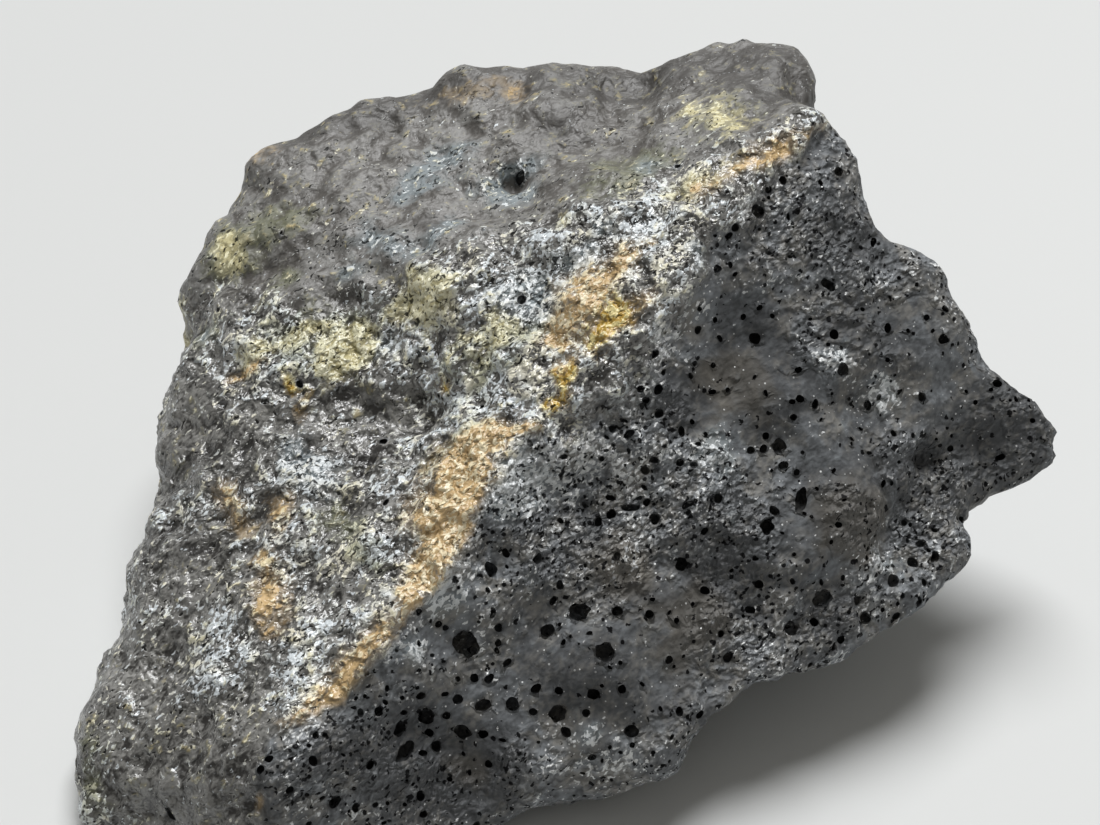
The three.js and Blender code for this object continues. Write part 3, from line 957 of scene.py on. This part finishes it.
class Board:
    """A node tree, with short ways to add nodes and join them."""

    def __init__(self, tree):
        self.tree = tree

    def node(self, kind, inputs=None, **settings):
        """A node with settings, and inputs given as {socket: value or another node's socket}."""
        made = self.tree.nodes.new(kind)
        for name, value in settings.items():
            setattr(made, name, value)
        for name, value in (inputs or {}).items():
            if isinstance(value, bpy.types.NodeSocket):
                self.tree.links.new(value, made.inputs[name])
            else:
                made.inputs[name].default_value = value
        return made

    def maths(self, operation, first, second=0.0, third=0.0):
        """A sum on values."""
        inputs = {0: first, 1: second, 2: third}
        return self.node("ShaderNodeMath", inputs, operation=operation).outputs[0]

    def times(self, first, second):
        """One value times another."""
        return self.maths("MULTIPLY", first, second)

    def scaled(self, value, gain, extra=0.0):
        """A value times a gain, plus something extra."""
        return self.maths("MULTIPLY_ADD", value, gain, extra)

    def about(self, value, gain, middle=0.0):
        """A value from 0 to 1 turned about its middle, times a gain, plus a new middle."""
        return self.scaled(self.maths("SUBTRACT", value, 0.5), gain, middle)

    def most(self, first, *others):
        """The highest of some values."""
        for other in others:
            first = self.maths("MAXIMUM", first, other)
        return first

    def least(self, first, second):
        """The lower of two values."""
        return self.maths("MINIMUM", first, second)

    def within(self, value):
        """A value kept from 0 to 1."""
        return self.least(self.most(value, 0.0), 1.0)

    def vector(self, operation, first, second=(0.0, 0.0, 0.0), **inputs):
        """A sum on vectors that gives a vector."""
        inputs = {0: first, 1: second, **inputs}
        return self.node("ShaderNodeVectorMath", inputs, operation=operation).outputs["Vector"]

    def dot(self, first, second):
        """How far one vector goes along another."""
        inputs = {0: first, 1: second}
        return self.node("ShaderNodeVectorMath", inputs, operation="DOT_PRODUCT").outputs["Value"]

    def step(self, value, low, high, bottom=0.0, top=1.0):
        """A smooth step of a value from bottom to top, between low and high."""
        inputs = {"Value": value, "From Min": low, "From Max": high, "To Min": bottom, "To Max": top}
        made = self.node("ShaderNodeMapRange", inputs, interpolation_type="SMOOTHSTEP")
        return made.outputs["Result"]

    def noise(self, vector, scale, detail=2.0, roughness=0.5, distortion=0.0):
        """Noise from 0 to 1."""
        inputs = {"Vector": vector, "Scale": scale, "Detail": detail, "Roughness": roughness,
                  "Distortion": distortion}
        return self.node("ShaderNodeTexNoise", inputs).outputs["Fac"]

    def blend(self, share, first, second):
        """A share of the second colour over the first."""
        made = self.node("ShaderNodeMix", data_type="RGBA")
        sockets = (made.inputs[0], made.inputs[6], made.inputs[7])
        for socket, value in zip(sockets, (share, first, second)):
            if isinstance(value, bpy.types.NodeSocket):
                self.tree.links.new(value, socket)
            else:
                socket.default_value = (*value, 1.0)
        return made.outputs[2]

    def group(self, tree, inputs):
        """A use of a node group. Returns its outputs."""
        return self.node("ShaderNodeGroup", inputs, node_tree=tree).outputs

    def stored(self, name):
        """The value stored on the mesh under a name."""
        return self.node("ShaderNodeAttribute", attribute_name=name).outputs["Fac"]


def new_group(name, inputs, outputs):
    """A node group with named sockets. Returns its board, its inputs and its outputs."""
    tree = bpy.data.node_groups.new(name, "ShaderNodeTree")
    for socket, kind, value in inputs:
        made = tree.interface.new_socket(socket, in_out="INPUT", socket_type=kind)
        if value is not None:
            made.default_value = value
    for socket, kind in outputs:
        tree.interface.new_socket(socket, in_out="OUTPUT", socket_type=kind)
    board = Board(tree)
    return board, board.node("NodeGroupInput").outputs, board.node("NodeGroupOutput").inputs


def patch_group():
    """Broad patches: noise of a few millimetres, of one millimetre, and a third for the tints."""
    board, given, out = new_group(
        "Patches",
        (("Place", "NodeSocketVector", None),),
        (("Broad", "NodeSocketFloat"), ("Middle", "NodeSocketFloat"), ("Tint", "NodeSocketFloat")),
    )
    join = board.tree.links.new
    place = given["Place"]
    join(board.noise(place, 0.33, 3.0, 0.6, 0.4), out["Broad"])
    join(board.noise(place, 1.05, 1.5, 0.5, 0.4), out["Middle"])
    join(board.noise(board.vector("ADD", place, ELSEWHERE), 0.5, 2.0, 0.6, 0.4), out["Tint"])
    return board.tree


def grain_group():
    """Grains: flecks, finer specks, pits, and crystals that each have a tilt and a random value."""
    board, given, out = new_group(
        "Grains",
        (("Place", "NodeSocketVector", None), ("Curl", "NodeSocketFloat", 0.5)),
        (("Fleck", "NodeSocketFloat"), ("Speck", "NodeSocketFloat"), ("Pit", "NodeSocketFloat"),
         ("Tilt", "NodeSocketVector"), ("Crystal", "NodeSocketFloat"), ("Dome", "NodeSocketFloat")),
    )
    join = board.tree.links.new
    place = given["Place"]
    join(board.noise(place, 3.7, 1.6, 0.55, given["Curl"]), out["Fleck"])
    join(board.noise(place, 5.6, 1.0, 0.5, 0.4), out["Speck"])
    join(board.noise(board.vector("ADD", place, ELSEWHERE), 3.9, 1.5, 0.5, 0.5), out["Pit"])
    cells = board.node("ShaderNodeTexVoronoi", {"Vector": place, "Scale": 4.6}).outputs
    picked = board.node("ShaderNodeSeparateColor", {"Color": cells["Color"]}).outputs
    join(board.vector("SUBTRACT", cells["Color"], (0.5, 0.5, 0.5)), out["Tilt"])
    join(picked[1], out["Crystal"])
    join(board.maths("SUBTRACT", 1.0, cells["Distance"]), out["Dome"])
    return board.tree


def film_group():
    """A stain: a cover from the mesh, torn by noise, with a thin halo round its body."""
    board, given, out = new_group(
        "Film",
        (("Cover", "NodeSocketFloat", 0.0), ("Middle", "NodeSocketFloat", 0.5),
         ("Fleck", "NodeSocketFloat", 0.5), ("Tear", "NodeSocketFloat", 1.0),
         ("Gaps", "NodeSocketFloat", 1.0), ("Body", "NodeSocketFloat", 0.8),
         ("Halo", "NodeSocketFloat", 0.3)),
        (("Mask", "NodeSocketFloat"),),
    )
    torn = board.about(given["Middle"], given["Tear"], given["Cover"])
    torn = board.about(given["Fleck"], given["Gaps"], torn)
    body = board.times(board.step(torn, 0.46, 0.60), given["Body"])
    halo = board.times(board.step(torn, 0.12, 0.5), given["Halo"])
    board.tree.links.new(board.most(body, halo), out["Mask"])
    return board.tree


def flecks_group():
    """Hard-edged flecks of a noise: more of them where they crowd."""
    board, given, out = new_group(
        "Flecks",
        (("Grain", "NodeSocketFloat", 0.5), ("Crowd", "NodeSocketFloat", 0.0),
         ("Sparse", "NodeSocketFloat", 0.7), ("Dense", "NodeSocketFloat", 0.5),
         ("Edge", "NodeSocketFloat", 0.06)),
        (("Mask", "NodeSocketFloat"),),
    )
    reach = board.maths("SUBTRACT", given["Dense"], given["Sparse"])
    low = board.scaled(given["Crowd"], reach, given["Sparse"])
    high = board.maths("ADD", low, given["Edge"])
    board.tree.links.new(board.step(given["Grain"], low, high), out["Mask"])
    return board.tree


def pinhole_group():
    """Tiny round pits, one in some of the cells of a Voronoi pattern."""
    board, given, out = new_group(
        "Pinholes",
        (("Place", "NodeSocketVector", None), ("Scale", "NodeSocketFloat", 1.0),
         ("Share", "NodeSocketFloat", 0.5), ("Width", "NodeSocketFloat", 0.3)),
        (("Mask", "NodeSocketFloat"),),
    )
    inputs = {"Vector": given["Place"], "Scale": given["Scale"]}
    cells = board.node("ShaderNodeTexVoronoi", inputs).outputs
    picked = board.node("ShaderNodeSeparateColor", {"Color": cells["Color"]}).outputs
    chosen = board.maths("LESS_THAN", picked[0], given["Share"])
    width = board.times(given["Width"], board.scaled(picked[1], 0.7, 0.5))
    inside = board.step(board.maths("DIVIDE", cells["Distance"], width), 0.8, 1.1, 1.0, 0.0)
    board.tree.links.new(board.times(inside, chosen), out["Mask"])
    return board.tree


# ---------------------------------------------------------------- the stone's finish


class StoneBoard(Board):
    """The stone's node tree, with the places, values, grains and stains that its finishes share."""

    def __init__(self, tree):
        super().__init__(tree)
        self.flecks_tree = flecks_group()
        self.pinholes_tree = pinhole_group()
        self.place = self.vector("SCALE", self.node("ShaderNodeTexCoord").outputs["Object"], Scale=1 / MM)
        draw_in = self.times(self.dot(self.place, FLOW), -GRAIN_DRAW)
        flowing = self.vector("ADD", self.place, self.vector("SCALE", FLOW, Scale=draw_in))
        self.crust, self.top, self.hollow = (self.stored(name) for name in ("crust", "top", "hollow"))
        # tone holds painted light and shade; rise, how far the relief stands out, paints light on crests.
        self.tone, self.rise, self.grit = (self.stored(name) for name in ("tone", "rise", "grit"))
        patches = self.group(patch_group(), {"Place": self.place})
        self.broad, self.middle, self.tint = patches["Broad"], patches["Middle"], patches["Tint"]
        grains = grain_group()
        coarser = self.vector("SCALE", flowing, Scale=BREAK_GRAIN_SCALE)
        self.crust_grains = self.group(grains, {"Place": flowing})
        self.break_grains = self.group(grains, {"Place": coarser, "Curl": 0.15})
        self.stains = self.stain_masks()
        self.stained = self.most(self.stains["ochre"], self.stains["yellow"], self.stains["pale"],
                                 self.times(self.stains["olive"], 0.6))
        self.gather()

    def stain_masks(self):
        """Where each stain lies, by its name."""
        film, masks = film_group(), {}
        for name, tear, gaps, body, halo in FILMS:
            inputs = {"Cover": self.stored(name), "Middle": self.middle, "Tear": tear, "Gaps": gaps,
                      "Fleck": self.crust_grains["Fleck"], "Body": body, "Halo": halo}
            masks[name] = self.group(film, inputs)["Mask"]
        return masks

    def gather(self):
        """Where flecks swarm, how gritty the break is and how lively the crust, all from 0 to 1."""
        # Flecks and glints crowd, and the crust is livelier, where tone is light and the relief rises:
        # painted light on lit places and crests.
        crowd = self.about(self.middle, 2.0, self.about(self.broad, 2.0, 0.30))
        crowd = self.scaled(self.rise, 0.35, self.scaled(self.tone, 0.40, crowd))
        self.swarm = self.within(crowd)
        self.rich = self.least(self.scaled(self.stained, 0.60, self.swarm), 1.0)
        gritty = self.about(self.broad, 1.6, self.about(self.middle, 1.5, 0.50))
        self.gritty = self.within(self.scaled(self.grit, 0.9, gritty))
        lively = self.scaled(self.tone, 0.12, self.about(self.middle, 0.6, self.broad))
        lively = self.times(self.scaled(self.top, -0.8, 1.0), self.step(lively, 0.38, 0.58, 0.35, 1.0))
        self.lively = self.times(self.scaled(self.least(self.grit, 0.0), 0.85, 1.0), lively)
        self.sparks = self.pinholes(self.place, 3.7, self.scaled(self.gritty, -0.10, 0.30), 0.19)

    def spots(self, grain, crowd, sparse, dense, edge):
        """Flecks of a grain, with the limits where they are sparse and where they are dense."""
        inputs = {"Grain": grain, "Crowd": crowd, "Sparse": sparse, "Dense": dense, "Edge": edge}
        return self.group(self.flecks_tree, inputs)["Mask"]

    def pinholes(self, place, scale, share, width):
        """Tiny round pits in a share of the cells, their width as a part of a cell."""
        inputs = {"Place": place, "Scale": scale, "Share": share, "Width": width}
        return self.group(self.pinholes_tree, inputs)["Mask"]


def break_glints(board):
    """Bright grains of the break with painted glints: hard flecks where they swarm, and lone painted
    sparks.
    """
    lit = board.times(board.swarm, board.scaled(board.gritty, 0.6, 0.4))
    lit = board.scaled(board.tone, 0.35, board.scaled(board.stains["pale"], 1.1, lit))
    return board.most(board.spots(board.break_grains["Speck"], lit, 0.71, 0.52, 0.08), board.sparks)


def break_holes(board):
    """Small holes of the break: two sizes of torn pinholes, and gaps between the grains, painted with the
    black of shade.
    """
    gritty = board.gritty
    torn = board.vector("ADD", board.place, board.vector("SCALE", board.break_grains["Tilt"], Scale=0.16))
    fine = board.pinholes(torn, 3.1, board.scaled(gritty, 0.20, 0.05), 0.46)
    coarse = board.pinholes(torn, 1.55, board.scaled(gritty, 0.12, 0.03), 0.26)
    gaps = board.spots(board.break_grains["Pit"], gritty, 0.75, 0.63, 0.04)
    return board.most(fine, coarse, gaps)


def break_colour(board, colours, glints, holes):
    """The break: smooth dark grey parts and crumbly gritty ones, tinted brown in places. It is darker
    where the fine relief is low, a painted shade, lighter on its crests, and follows the painted light
    and shade of tone.
    """
    gritty, fleck, pale = board.gritty, board.break_grains["Fleck"], board.stains["pale"]
    # Painted shade: the grey darkens where the fine relief's noises are low, and with dark tone.
    cloud = board.scaled(board.tone, 0.10, board.scaled(board.middle, 0.3, board.times(fleck, 0.7)))
    cloud = board.about(cloud, board.scaled(gritty, 0.40, 0.60), 0.48)
    grey = board.blend(board.step(board.tint, 0.42, 0.58), colours.break_mid, colours.break_warm)
    colour = board.blend(board.step(cloud, 0.34, 0.62), colours.break_dark, grey)
    brown = board.maths("ADD", board.about(board.broad, 1.2), board.stored("brown"))
    colour = board.blend(board.times(board.step(brown, 0.3, 0.7), 0.55), colour, colours.brown)
    crumbs = board.spots(fleck, board.scaled(board.tone, 0.25, board.swarm), 0.66, 0.50, 0.14)
    colour = board.blend(board.times(board.times(crumbs, 0.85), gritty), colour, colours.break_crumbs)
    colour = board.blend(board.times(pale, 0.6), colour, colours.pale_deep)
    # Painted glints, bluish in the pale film.
    glitter = board.blend(pale, colours.break_grain_glint, colours.pale_light)
    colour = board.blend(board.times(glints, 0.85), colour, glitter)
    return board.blend(board.times(holes, 0.95), colour, colours.deep)


def crust_sparkle(board):
    """Bright chips of the crust with painted glints, thickest where it is lively or stained, and painted
    sparks on the top.
    """
    stains = board.stains
    chips = board.about(board.crust_grains["Crystal"], 0.22, board.crust_grains["Fleck"])
    chips = board.scaled(stains["ochre"], -0.10, board.scaled(board.top, -0.07, chips))
    shining = board.most(board.lively, board.times(board.most(stains["pale"], stains["yellow"]), 0.8))
    sparkle = board.spots(chips, board.times(board.rich, shining), 0.69, 0.42, 0.05)
    return board.most(sparkle, board.times(board.times(board.sparks, board.top), 0.6))


def crust_pits(board):
    """Small dark pits of the crust, fewer in the ochre, painted with the black of shade."""
    pits = board.spots(board.crust_grains["Pit"], board.rich, 0.70, 0.60, 0.06)
    return board.times(pits, board.scaled(board.stains["ochre"], -0.7, 0.85))


def crust_colour(board, colours, pits):
    """The crust: mottled, nearly black to warm grey, whitish grey on the top, stained and with painted
    glints. Its mottle and the top's are lighter on crests and with light tone, painted light, and darker
    in hollows and with dark tone, painted shade.
    """
    tone, rise, pit = board.tone, board.rise, board.crust_grains["Pit"]
    mottle = board.scaled(board.middle, 0.5, board.times(pit, 0.5))
    # Lighter on crests and with light tone, painted light; darker in hollows and with dark tone, painted
    # shade.
    mottle = board.scaled(rise, 0.06, board.scaled(tone, 0.03, mottle))
    colour = board.blend(board.step(mottle, 0.38, 0.58), colours.crust_dark, colours.crust_mid)
    depth = board.scaled(board.most(tone, 0.0), -0.45, 0.60)
    shaded = board.times(board.step(board.rich, 0.45, 0.95), depth)
    colour = board.blend(shaded, colour, colours.crust_dark)
    # The top's whitish grey: its own mottle, with painted light on crests and painted shade in hollows.
    top_lit_share = board.scaled(rise, 0.08, board.scaled(tone, 0.12, board.about(pit, 0.5, board.middle)))
    top_lit_mottle = board.blend(board.step(top_lit_share, 0.40, 0.66), colours.top_dark, colours.top_light)
    colour = board.blend(board.times(board.top, 0.9), colour, top_lit_mottle)
    # The colour of the crust's painted glints, tinted by each stain.
    glint_colour = board.blend(board.step(board.tint, 0.36, 0.56), colours.crust_glint_warm, colours.crust_glint_cool)
    for name, mask in board.stains.items():
        colour = board.blend(mask, colour, getattr(colours, f"{name}_deep"))
        glint_colour = board.blend(mask, glint_colour, getattr(colours, f"{name}_light"))
    colour = board.blend(crust_sparkle(board), colour, glint_colour)
    return board.blend(pits, colour, colours.deep)


def roughness(board, glints):
    """Satin break, glossy crust, duller stains and top."""
    rough = board.scaled(board.crust, -0.08, board.about(board.middle, 0.4, 0.34))
    rough = board.scaled(board.top, 0.30, rough)
    satin = board.scaled(glints, -0.4, board.scaled(board.gritty, -0.28, 0.55))
    rough = board.scaled(board.maths("SUBTRACT", 1.0, board.crust), satin, rough)
    return board.scaled(board.stained, 0.10, rough)


def fine_relief(board):
    """The height of the fine relief, in millimetres: lively on the crust, gritty on the break."""
    lively, gritty, middle = board.lively, board.gritty, board.middle
    fleck, speck, pit = (board.crust_grains[name] for name in ("Fleck", "Speck", "Pit"))
    crusty = board.times(fleck, board.scaled(lively, 0.15, 0.04))
    crusty = board.scaled(speck, board.times(lively, 0.05), crusty)
    crusty = board.scaled(middle, board.scaled(lively, 0.46, 0.14), crusty)
    crusty = board.scaled(board.step(pit, 0.58, 0.72), board.times(lively, -0.14), crusty)
    fleck, speck, dome = (board.break_grains[name] for name in ("Fleck", "Speck", "Dome"))
    broken = board.times(fleck, board.scaled(gritty, 0.29, 0.10))
    broken = board.scaled(speck, board.times(gritty, 0.10), broken)
    broken = board.scaled(dome, board.times(gritty, 0.20), broken)
    broken = board.scaled(middle, board.scaled(gritty, 0.15, 0.15), broken)
    return board.scaled(board.maths("SUBTRACT", crusty, broken), board.crust, broken)


def leaning_normal(board, glints):
    """The fine relief's normal, with crystals and glints that lean their own ways."""
    bump = board.node("ShaderNodeBump", {"Height": fine_relief(board), "Distance": MM, "Strength": 1.0})
    lean = board.scaled(board.times(board.crust, board.lively), 0.10, board.scaled(glints, 0.8, 0.12))
    tilt = board.vector("SCALE", board.crust_grains["Tilt"], Scale=lean)
    return board.vector("NORMALIZE", board.vector("ADD", bump.outputs["Normal"], tilt))


def stone_material(colours):
    """The stone's finish: dark bubbly break, flecked glossy crust, and the crust's stains."""
    material = bpy.data.materials.new("meteorite stone")
    material.use_nodes = True
    board = StoneBoard(material.node_tree)
    shader = material.node_tree.nodes["Principled BSDF"].inputs
    join = board.tree.links.new
    glints, holes, pits = break_glints(board), break_holes(board), crust_pits(board)
    broken = break_colour(board, colours, glints, holes)
    colour = board.blend(board.crust, broken, crust_colour(board, colours, pits))
    # Painted shade: the insides of bubbles, and the dark tone, are darkened towards the pits' black.
    shade_and_dark_tone = board.scaled(board.hollow, 0.6, board.times(board.least(board.tone, 0.0), -0.35))
    join(board.blend(shade_and_dark_tone, colour, colours.deep), shader["Base Color"])
    join(roughness(board, glints), shader["Roughness"])
    shader["Specular IOR Level"].default_value = 0.9
    # Pits, holes and bubbles give no sheen: a black metal mirrors nothing, so their painted shade stays
    # black.
    uncrusted = board.maths("SUBTRACT", 1.0, board.crust)
    sunk = board.scaled(holes, uncrusted, board.times(pits, board.crust))
    join(board.times(board.most(sunk, board.hollow), 0.9), shader["Metallic"])
    join(leaning_normal(board, glints), shader["Normal"])
    return material


# ---------------------------------------------------------------- the stage


def floor_material(colour):
    """Plain pale board with painted shade, a little darker towards its far left, with the faintest
    mottle.
    """
    material = bpy.data.materials.new("pale board")
    material.use_nodes = True
    board = Board(material.node_tree)
    shader = material.node_tree.nodes["Principled BSDF"].inputs
    place = board.node("ShaderNodeTexCoord").outputs["Object"]
    far = board.step(board.dot(place, FLOOR_FALL), FLOOR_FALL_START, FLOOR_FALL_END)
    share = board.scaled(board.noise(place, 9.0, 3.0), 0.15, far)
    darker = tuple(value * FLOOR_FAR_SHADE for value in colour)
    board.tree.links.new(board.blend(share, tuple(colour), darker), shader["Base Color"])
    shader["Roughness"].default_value = 0.8
    return material


def add_floor(stage):
    """A wide level board under the stone."""
    corners = np.array([[-1, -1, 0], [1, -1, 0], [1, 1, 0], [-1, 1, 0]]) * FLOOR_HALF
    floor = show("floor", make_mesh("floor", corners, np.array([[0, 1, 2, 3]])))
    floor.data.materials.append(floor_material(stage.floor_colour))


def add_light(name, direction, distance, width, power):
    """A round soft light that faces the stone."""
    light = bpy.data.lights.new(name, "AREA")
    light.shape = "DISK"
    light.size = width
    light.energy = power
    lamp = bpy.data.objects.new(name, light)
    bpy.context.scene.collection.objects.link(lamp)
    towards = Vector(direction).normalized()
    lamp.location = LIGHT_AIM + towards * distance
    lamp.rotation_euler = towards.to_track_quat("Z", "Y").to_euler()


def add_camera(stage):
    """The main camera, level and looking down at the stone."""
    lens = bpy.data.cameras.new("camera")
    lens.lens = stage.lens
    lens.sensor_width = SENSOR_WIDTH
    lens.clip_start = 10 * MM
    camera = bpy.data.objects.new("camera", lens)
    bpy.context.scene.collection.objects.link(camera)
    eye, _, _, _ = view_axes(stage)
    camera.location = Vector(eye * MM)
    camera.rotation_euler = (math.pi / 2 - stage.tilt, 0, 0)
    bpy.context.scene.camera = camera


def add_sky(stage):
    """Soft white light from all round."""
    world = bpy.data.worlds.new("sky")
    world.use_nodes = True
    background = world.node_tree.nodes["Background"]
    background.inputs["Color"].default_value = SKY_COLOUR
    background.inputs["Strength"].default_value = stage.sky_strength
    bpy.context.scene.world = world
    bpy.context.scene.view_settings.view_transform = "Standard"


# ---------------------------------------------------------------- operators and panel


class METEORITE_OT_stone(bpy.types.Operator):
    """Build the stone around the CAD form and give it its finish"""

    bl_idname = "meteorite.stone"
    bl_label = "Build stone"

    def execute(self, context):
        shape, stage = context.scene.meteorite_shape, context.scene.meteorite_stage
        piece = lay_surface(shape)
        mesh = piece.data
        points, normals = places_of(mesh), normals_of(mesh)
        form = tree_of(mesh)
        crust = crust_share(points, normals, line_on(form, stage, RIDGE, RIDGE_START, RIDGE_END))
        top = top_share(points, line_on(form, stage, STEP, STEP_START, STEP_END))
        grit = grit_share(points, form, stage)
        height, rise = relief(points, crust, top, grit, shape)
        dents = dent_depth(points, form, stage)
        moved = points + normals * (height - dents)[:, None]
        moved[:, 2] = np.maximum(moved[:, 2], 0)
        move_to(mesh, moved)
        store(mesh, "crust", crust)
        store(mesh, "top", top)
        store(mesh, "grit", grit)
        # How far the relief stands out, with the dents deeper: the material paints light on crests and
        # shade in hollows from it.
        store(mesh, "rise", rise - 1.5 * dents)
        store(mesh, "hollow", np.zeros(len(moved)))
        add_bubbles(piece, form, shape, stage)
        thin_out(piece, shape.triangles)
        paint(piece, form, stage)
        piece.data.shade_smooth()
        piece.data.set_sharp_from_angle(angle=SHARP_ANGLE)
        add_bake_map(piece.data)
        piece.data.materials.clear()
        piece.data.materials.append(stone_material(context.scene.meteorite_colours))
        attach(piece, BODY)
        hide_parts(NODE)
        return {"FINISHED"}


class METEORITE_OT_stage(bpy.types.Operator):
    """Set up the floor, the lights and the camera"""

    bl_idname = "meteorite.stage"
    bl_label = "Set stage"

    def execute(self, context):
        stage = context.scene.meteorite_stage
        add_floor(stage)
        add_light("key light", stage.key_direction, stage.key_distance, stage.key_width, stage.key_power)
        add_sky(stage)
        add_camera(stage)
        return {"FINISHED"}


class METEORITE_PT_panel(bpy.types.Panel):
    """The steps that build the meteorite"""

    bl_idname = "METEORITE_PT_panel"
    bl_label = "Meteorite"
    bl_space_type = "VIEW_3D"
    bl_region_type = "UI"
    bl_category = "Meteorite"

    def draw(self, context):
        for operator in OPERATORS:
            self.layout.operator(operator.bl_idname)


GROUPS = {
    "meteorite_shape": StoneShape,
    "meteorite_colours": StoneColours,
    "meteorite_stage": StageSettings,
}
OPERATORS = (METEORITE_OT_stone, METEORITE_OT_stage)


def register():
    """The classes and the scene's settings are made known to Blender."""
    for kind in (*GROUPS.values(), *OPERATORS, METEORITE_PT_panel):
        bpy.utils.register_class(kind)
    for name, kind in GROUPS.items():
        setattr(bpy.types.Scene, name, bpy.props.PointerProperty(type=kind))


def unregister():
    """The classes and the scene's settings are taken back."""
    for name in GROUPS:
        delattr(bpy.types.Scene, name)
    for kind in (METEORITE_PT_panel, *OPERATORS, *reversed(GROUPS.values())):
        bpy.utils.unregister_class(kind)


def main():
    """Builds everything in order."""
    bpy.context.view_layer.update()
    register()
    bpy.ops.meteorite.stone()
    bpy.ops.meteorite.stage()


if __name__ == "__main__":
    main()
